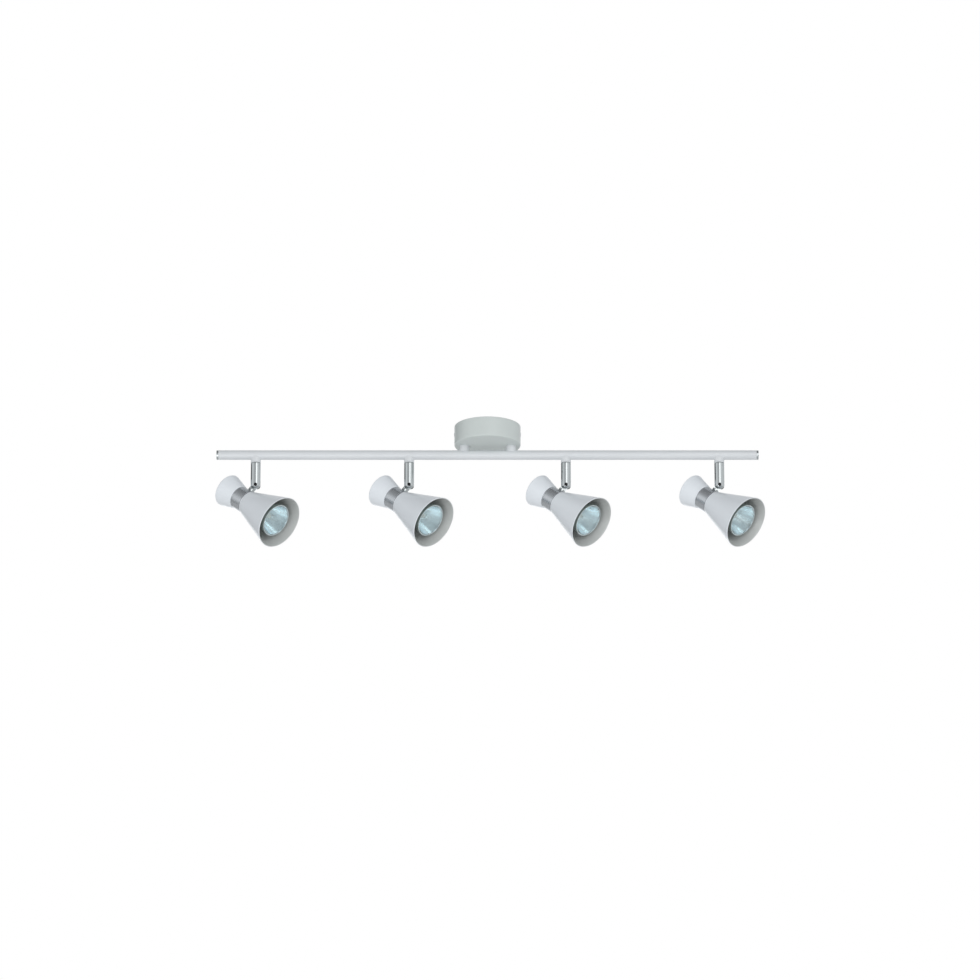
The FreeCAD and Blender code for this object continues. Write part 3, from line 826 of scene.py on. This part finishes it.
    def _rear_shade(self, shop: Workshop) -> None:
        """Short flared cup with round-ended vents in its back.

        Args:
            shop: The workshop that finishes the piece.
        """
        wall, neck = self.shade_wall, self.neck_radius
        back = self.rear_end + wall
        inner = self.rear_radius - wall - self.rear_ease
        outline = rounded([(back, 0.0), (back, inner, self.rear_round - wall),
                           (self.neck_rear, neck - wall), (self.neck_rear, neck, 0.5),
                           (self.rear_end, self.rear_radius, self.rear_round),
                           (self.rear_end, 0.0)], longest=3.0)
        runs = np.arange(len(outline) - 1)
        inside = runs < np.argmax(outline[:, 0])
        cup = turned(self._named("rear_cup"), outline, self.head_axes, segments=128, lining=inside)
        near, far = self.vent_reach
        carve(cup, [prism("vent", slotted(near, far, self.vent_half_width, 2 * math.pi * k / self.vents),
                          self.head_axes, self.rear_end - 1, back + 1) for k in range(self.vents)])
        finishes = ["shade_lacquer", "shade_lining"]
        shop.piece(cup, self.head_body, Slot.SHADE, finishes, [self._named("rear_shade")])

    def _band(self, shop: Workshop) -> None:
        """Ring with softened edges and a fine groove beside each, on a sleeve inside the shades.

        Args:
            shop: The workshop that finishes the piece.
        """
        rear, front, full, bore = self.neck_rear, self.neck_front, self.band_radius, self.band_bore
        sleeve, groove = bore + self.sleeve_wall, full - self.groove_depth
        near, low_near, low_far, far = self.groove_marks
        soft, edge = 0.15, 0.2
        outline = rounded([(0.0, bore), (rear - self.sleeve_length, bore),
                           (rear - self.sleeve_length, sleeve), (rear, sleeve), (rear, full, edge),
                           (rear + near, full, soft), (rear + low_near, groove), (rear + low_far, groove),
                           (rear + far, full, soft), (front - far, full, soft), (front - low_far, groove),
                           (front - low_near, groove), (front - near, full, soft), (front, full, edge),
                           (front, sleeve),
                           (front + self.sleeve_length, sleeve), (front + self.sleeve_length, bore),
                           (0.0, bore)], longest=2.0)
        band = turned(self._named("band_ring"), outline, self.head_axes, segments=128)
        shop.piece(band, self.head_body, Slot.BAND, ["satin_chrome"], [self._named("neck_band")])

    def _front_shade(self, shop: Workshop) -> None:
        """Long cone with a rounded lip, lacquered outside and lined inside.

        Args:
            shop: The workshop that finishes the piece.
        """
        wall, lip, start, end = self.shade_wall, self.lip_round, self.neck_front, self.mouth_end
        middle = self.neck_radius - wall / 2
        outline = rounded([(start, middle), (start, self.neck_radius, 0.5), (end, self.mouth_radius, lip),
                           (end, self.mouth_radius - wall - 0.02, lip), (start, self.neck_radius - wall),
                           (start, middle)], longest=4.0)
        runs = np.arange(len(outline) - 1)
        inside = runs > np.argmax(outline[:, 0])
        cone = turned(self._named("front_cone"), outline, self.head_axes, segments=160, lining=inside)
        finishes = ["shade_lacquer", "shade_lining"]
        shop.piece(cone, self.head_body, Slot.SHADE, finishes, [self._named("front_shade")])

    def _lamp(self, shop: Workshop) -> None:
        """Flared glass body with a mirror of flat facets, the light capsule, and the two pins.

        Args:
            shop: The workshop that finishes the piece.
        """
        base_radius, base_length = self.lamp_base
        seat = self.lamp_face - self.lamp_length
        neck, rim = seat + base_length, self.lamp_face - self.lens_dome
        rim_start, lens_back = rim - self.lamp_rim, rim - self.lens_edge
        lens, bowl_start = self.lamp_radius - self.lens_rim, neck + self.bowl_floor
        flare = self._flare((neck, base_radius), (rim_start, self.lamp_radius), 14)
        base = rounded([(seat, 0.1), (seat, base_radius, 0.8), (neck, base_radius)])
        # The outer ring of the rim face takes the dark glass finish, which there is painted shadow round the
        # lamp; the narrow ring inside it takes the mirror finish.
        rim_face = [(rim, self.lamp_radius), (rim, lens + self.bright_ring), (rim, lens), (lens_back, lens)]
        outside = np.vstack([[(seat, 0.0)], base, flare[1:], rim_face])
        bowl = self._flare((bowl_start, self.capsule_radius), (lens_back, lens - 0.9), self.facet_rings)[::-1]
        outline = np.vstack([outside, bowl, [(bowl_start, 0.0)]])
        run = np.arange(len(outline) - 1)
        facets, mirror = run >= len(outside) - 1, run >= len(outside) - 3
        body = turned(self._named("lamp_bowl"), outline, self.head_axes, segments=self.facet_columns,
                      lining=mirror, facets=facets)
        finishes = ["lamp_glass_painted_rim_shadow", "mirror_facets"]
        shop.piece(body, self.head_body, Slot.REFLECTOR, finishes, [self._named("lamp")])
        tip, end = self.capsule_radius, bowl_start + self.capsule_length
        capsule = turned(self._named("lamp_capsule"), rounded([(neck + 2.3, 0.0), (neck + 2.3, tip, 0.3),
                                                               (end, tip, tip * 0.9), (end, 0.0)]),
                         self.head_axes, segments=40)
        shop.piece(capsule, self.head_body, Slot.GLASS, ["capsule_quartz"], [])
        self._lamp_pins(shop, seat)

    def _lamp_pins(self, shop: Workshop, seat: float) -> None:
        """Two stepped locking pins behind the lamp's base.

        Args:
            shop: The workshop that finishes the pieces.
            seat: Where the base ends.
        """
        neck, foot, end = self.lamp_pin_radius, seat - self.lamp_pin_neck, seat - self.lamp_pin_length
        outline = rounded([(seat, 0.0), (seat, neck), (foot, neck), (foot, self.lamp_pin_foot, 0.3),
                           (end, self.lamp_pin_foot, 0.4), (end, 0.0)])
        for side, name in ((-1, "a"), (1, "b")):
            centre = self.head_axes.origin + side * self.lamp_pin_offset * MM * self.head_axes.third
            axes = Axes(centre, self.head_axes.along, self.head_axes.side)
            pin = turned(self._named("lamp_pin_" + name), outline, axes, segments=32)
            shop.piece(pin, self.head_body, Slot.REFLECTOR, ["zinc_plate"], [])

    @staticmethod
    def _flare(start: tuple, end: tuple, count: int) -> np.ndarray:
        """Flare between two points: the way along grows as a power of the share of the radius.

        Args:
            start: (along, radius) at the narrow end.
            end: (along, radius) at the wide end.
            count: How many points.

        Returns:
            An array of (along, radius) points.
        """
        share = np.linspace(0, 1, count)
        return np.stack([start[0] + (end[0] - start[0]) * share ** FLARE_POWER,
                         start[1] + (end[1] - start[1]) * share], axis=1)

    def _lens(self, shop: Workshop) -> None:
        """Clear front glass, flat behind, domed ahead with one shallow ring let in.

        Height of the dome: a paraboloid, less a bell-shaped dip about one share of the radius.

        Args:
            shop: The workshop that finishes the piece.
        """
        radius, edge = self.lamp_radius - self.lens_rim, self.lamp_face - self.lens_dome
        back = edge - self.lens_edge
        reach = np.linspace(1, 0, 22)
        place, width, depth = self.lens_ring
        dip = 1 - depth * np.exp(-((reach - place) / width) ** 2)
        swell = self.lens_dome * (1 - reach ** 2) * dip
        dome = np.stack([edge + swell, radius * reach], axis=1)
        outline = np.vstack([[(back, 0.0), (back, radius)], dome])
        lens = turned(self._named("lens_glass"), outline, self.head_axes, segments=96)
        shop.piece(lens, self.head_body, Slot.GLASS, ["cover_glass"], [self._named("lamp_lens")])


# ---------------------------------------------------------------- studio


def placed(right: np.ndarray, up: np.ndarray, back: np.ndarray, place: Sequence[float]) -> Matrix:
    """Matrix that stands an object at a place with the given directions.

    Args:
        right: Where its X points.
        up: Where its Y points.
        back: Where its Z points.
        place: Where its origin is.

    Returns:
        The object's world matrix.
    """
    return Matrix(np.vstack([np.column_stack([right, up, back, place]), [0.0, 0.0, 0.0, 1.0]]).tolist())


@dataclass(frozen=True)
class SoftBox:
    """A round soft light: its place and width in metres, and its power in watts."""

    name: str
    place: tuple
    size: float
    watts: float


@dataclass
class Studio:
    """A pale floor far below, soft lights, and a long lens that looks up at the bar."""

    elevation: float = math.radians(18.5)
    distance: float = 9.0
    view_width: float = 1.46
    aim_right: float = 0.0037
    aim_down: float = 0.0936
    sensor: float = 36.0
    floor_drop: float = 3.3
    floor_size: float = 40.0
    floor_glow: float = 0.2
    soft_boxes: tuple = (SoftBox("key", (0.9, -3.0, 0.35), 2.0, 12.0),
                         SoftBox("side", (-0.7, -2.8, -1.7), 2.4, 24.0))
    sky_stops: tuple = ((0.0, 0.85), (0.35, 1.05), (0.55, 1.15), (0.66, 1.0), (0.8, 0.6), (1.0, 0.42))
    side_stops: tuple = ((0.0, 1.3), (0.06, 1.2), (0.09, 0.15), (0.22, 0.15), (0.25, 0.7),
                         (0.33, 1.0), (0.39, 0.65), (0.5, 0.6), (0.56, 0.66), (0.6, 0.92),
                         (0.67, 0.92), (0.74, 0.75), (0.84, 0.85), (0.9, 0.45), (0.94, 1.2),
                         (1.0, 1.3))

    def build(self) -> None:
        """Make the camera, floor, world and lights."""
        self._camera()
        self._floor()
        self._world()
        self._lights()
        bpy.context.scene.view_settings.view_transform = "Standard"

    def _camera(self) -> None:
        """Aim the camera up along its elevation, with the bar in the middle of its view."""
        ahead = np.array([0.0, math.cos(self.elevation), math.sin(self.elevation)])
        up = np.array([0.0, -math.sin(self.elevation), math.cos(self.elevation)])
        right = np.array([1.0, 0.0, 0.0])
        place = right * self.aim_right - up * self.aim_down - ahead * self.distance
        camera = bpy.data.cameras.new("camera")
        camera.sensor_width = self.sensor
        camera.lens = self.sensor * self.distance / self.view_width
        camera.clip_end = 100.0
        holder = bpy.data.objects.new("camera", camera)
        holder.matrix_world = placed(right, up, -ahead, place)
        bpy.context.scene.collection.objects.link(holder)
        bpy.context.scene.camera = holder

    def _floor(self) -> None:
        """A plain pale floor below the camera."""
        half = self.floor_size / 2
        side = np.linspace(-half, half, 3)
        x, y = np.meshgrid(side, side)
        points = np.stack([x, y, np.full_like(x, -self.floor_drop)], axis=-1).reshape(-1, 3)
        corner = np.array([0, 1, 3, 4])
        mesh = mesh_from("floor", points, np.stack([corner, corner + 1, corner + 4, corner + 3], axis=1))
        floor = bpy.data.objects.new("floor", mesh)
        material = bpy.data.materials.new("pale_floor")
        material.use_nodes = True
        shader = next(n for n in material.node_tree.nodes if n.type == "BSDF_PRINCIPLED")
        sheet = NodeSheet(material.node_tree)
        cloud = sheet.add("TexNoise", {"Vector": sheet.add("TexCoord").outputs["Object"], "Scale": 0.6})
        grey = sheet.add("ValToRGB", {0: cloud.outputs[0]})
        self._stops(grey, ((0.0, 0.84), (1.0, 0.88)))
        sheet.tree.links.new(grey.outputs[0], shader.inputs["Base Color"])
        shader.inputs["Roughness"].default_value = 0.9
        shader.inputs["Emission Color"].default_value = (1.0, 1.0, 1.0, 1.0)
        shader.inputs["Emission Strength"].default_value = self.floor_glow
        mesh.materials.append(material)
        bpy.context.scene.collection.objects.link(floor)

    def _world(self) -> None:
        """White where the camera looks; a soft studio for everything else, with a dark band at each side."""
        world = bpy.data.worlds.new("studio")
        bpy.context.scene.world = world
        world.use_nodes = True
        sheet = NodeSheet(world.node_tree)
        sheet.tree.nodes.clear()
        way = sheet.add("TexCoord").outputs["Generated"]
        parts = sheet.add("SeparateXYZ", {0: way})
        toward = sheet.add("Math", {0: parts.outputs[1], 1: -1.0}, operation="MULTIPLY")
        round_about = sheet.add("Math", {0: parts.outputs[0], 1: toward.outputs[0]}, operation="ARCTAN2")
        lift = sheet.add("ValToRGB", {0: sheet.add("MapRange", {
            "Value": parts.outputs[2], "From Min": -1.0, "From Max": 1.0}).outputs[0]})
        self._stops(lift, self.sky_stops)
        sides = sheet.add("ValToRGB", {0: sheet.add("MapRange", {
            "Value": round_about.outputs[0], "From Min": -math.pi, "From Max": math.pi}).outputs[0]})
        self._stops(sides, self.side_stops)
        glow = sheet.add("Math", {0: lift.outputs[0], 1: sides.outputs[0]}, operation="MULTIPLY")
        soft = sheet.add("Background", {"Color": (0.97, 0.985, 1.0, 1.0), "Strength": glow.outputs[0]})
        white = sheet.add("Background", {"Color": (1.0, 1.0, 1.0, 1.0), "Strength": 1.0})
        ray = sheet.add("LightPath")
        seen = ray.outputs["Is Camera Ray"]
        mix = sheet.add("MixShader", {0: seen, 1: soft.outputs[0], 2: white.outputs[0]})
        sheet.add("OutputWorld", {0: mix.outputs[0]})

    @staticmethod
    def _stops(ramp: bpy.types.Node, stops: Sequence[tuple]) -> None:
        """Fill a colour ramp with grey stops.

        Args:
            ramp: The ramp's node.
            stops: (position, grey) in order.
        """
        marks = ramp.color_ramp.elements
        while len(marks) < len(stops):
            marks.new(1.0)
        for mark, (position, grey) in zip(marks, stops):
            mark.position, mark.color = position, (grey, grey, grey, 1.0)

    def _lights(self) -> None:
        """Hang the soft boxes, each facing the model."""
        for box in self.soft_boxes:
            name, place, size, watts = box.name, box.place, box.size, box.watts
            light = bpy.data.lights.new(name, "AREA")
            light.shape, light.size, light.energy = "DISK", size, watts
            lamp = bpy.data.objects.new(name, light)
            ahead = -np.array(place) / np.linalg.norm(place)
            right = np.cross(ahead, [0.0, 0.0, 1.0])
            right /= np.linalg.norm(right)
            lamp.matrix_world = placed(right, np.cross(right, ahead), -ahead, place)
            bpy.context.scene.collection.objects.link(lamp)


def main() -> None:
    """Dress the frame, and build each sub-assembly in order."""
    logging.basicConfig(level=logging.INFO, format="%(message)s")
    shop = Workshop()
    shop.dress_frame()
    Canopy().build(shop)
    Bar().build(shop)
    for number in range(1, 5):
        SpotHead(number).build(shop)
    Studio().build()


if __name__ == "__main__":
    main()
